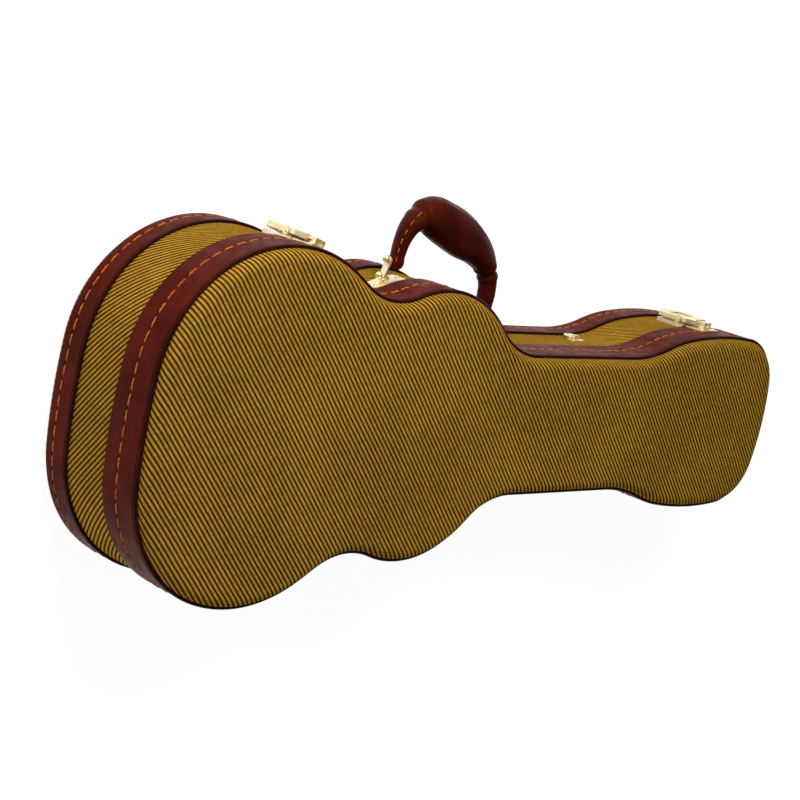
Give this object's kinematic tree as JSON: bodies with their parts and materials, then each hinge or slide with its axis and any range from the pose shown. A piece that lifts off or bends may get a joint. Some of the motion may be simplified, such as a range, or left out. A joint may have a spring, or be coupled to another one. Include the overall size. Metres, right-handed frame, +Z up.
{
  "type": "instrument carrying case",
  "caption": "Small guitar-shaped hard case in tweed with leatherette bands, hinged lid, two draw latches, padded handle and plush-lined inside.",
  "frame": {"origin": "centre of the flat back face", "axes": "+X from tail to headstock, +Y towards the handle side, +Z up through the lid"},
  "size_m": [0.6606, 0.2822, 0.11],
  "materials": {
    "tweed": "striped tweed cloth",
    "leatherette": "smooth burgundy leatherette, satin",
    "plywood": "bare plywood",
    "plush": "short wine-red plush",
    "brass": "polished pale brass plate"
  },
  "bodies": {
    "case_body": {"body_tweed_back": "tweed", "body_tweed_rim": "tweed", "body_shell": "plywood", "body_binding": "leatherette", "body_welt": "leatherette", "body_lip": "plywood", "body_lining": "plush", "neck_cradle": "plush", "accessory_box": "plush", "tail_hinge_body_leaf": "brass", "tail_hinge_pin": "brass", "head_hinge_body_leaf": "brass", "head_hinge_pin": "brass", "tail_latch_base": "brass", "tail_latch_pivot_pin": "brass", "head_latch_base": "brass", "head_latch_pivot_pin": "brass", "handle_plate_tail": "brass", "handle_plate_head": "brass", "handle_lower_pin_tail": "brass", "handle_lower_pin_head": "brass", "strap_plate": "brass", "body_rivets": "brass"},
    "lid": {"lid_tweed_face": "tweed", "lid_shell": "plywood", "lid_binding": "leatherette", "lid_piping": "leatherette", "lid_lining": "plush", "tail_hinge_lid_leaf": "brass", "head_hinge_lid_leaf": "brass", "tail_latch_catch": "brass", "head_latch_catch": "brass", "lid_rivets": "brass"},
    "handle": {"handle_grip": "leatherette", "handle_link_tail": "brass", "handle_link_head": "brass", "handle_upper_pin_tail": "brass", "handle_upper_pin_head": "brass"},
    "tail_lever": {"tail_latch_lever": "brass", "tail_latch_claw_pin": "brass"},
    "tail_claw": {"tail_latch_claw": "brass"},
    "head_lever": {"head_latch_lever": "brass", "head_latch_claw_pin": "brass"},
    "head_claw": {"head_latch_claw": "brass"},
    "flap": {"accessory_flap": "plush", "accessory_flap_tab": "leatherette"},
    "strap_ring": {"strap_ring": "brass"}
  },
  "joints": [
    {"name": "lid_hinge", "type": "hinge", "parent": "case_body", "child": "lid", "pos_m": [-0.22107, -0.12368, 0.069], "axis": [0.9952, 0.0976, 0], "range_deg": [0, 105]},
    {"name": "tail_lever_hinge", "type": "hinge", "parent": "case_body", "child": "tail_lever", "pos_m": [-0.19829, 0.11923, 0.061], "axis": [0.9524, -0.3048, 0], "range_deg": [0, 95]},
    {"name": "tail_claw_hinge", "type": "hinge", "parent": "tail_lever", "child": "tail_claw", "pos_m": [-0.19851, 0.11856, 0.056], "axis": [0.9524, -0.3048, 0], "range_deg": [-105, 0]},
    {"name": "head_lever_hinge", "type": "hinge", "parent": "case_body", "child": "head_lever", "pos_m": [0.2489, 0.07608, 0.061], "axis": [0.9999, 0.017, 0], "range_deg": [0, 95]},
    {"name": "head_claw_hinge", "type": "hinge", "parent": "head_lever", "child": "head_claw", "pos_m": [0.24892, 0.07538, 0.056], "axis": [0.9999, 0.017, 0], "range_deg": [-105, 0]},
    {"name": "handle_hinge", "type": "hinge", "parent": "case_body", "child": "handle", "pos_m": [-0.1156, 0.0968, 0.0613], "axis": [0.9532, -0.3024, 0], "range_deg": [-28, 28]},
    {"name": "flap_hinge", "type": "hinge", "parent": "case_body", "child": "flap", "pos_m": [0.158, -0.0097, 0.0478], "axis": [1, 0, 0], "range_deg": [0, 95]},
    {"name": "strap_ring_swing", "type": "hinge", "parent": "case_body", "child": "strap_ring", "pos_m": [0.12999, 0.0544, 0.046], "axis": [1, 0.0017, 0], "range_deg": [0, 165]}
  ],
  "couplings": [
    {"joint": "tail_claw_hinge", "follows": "tail_lever_hinge", "ratio": -1.1},
    {"joint": "head_claw_hinge", "follows": "head_lever_hinge", "ratio": -1.1}
  ]
}
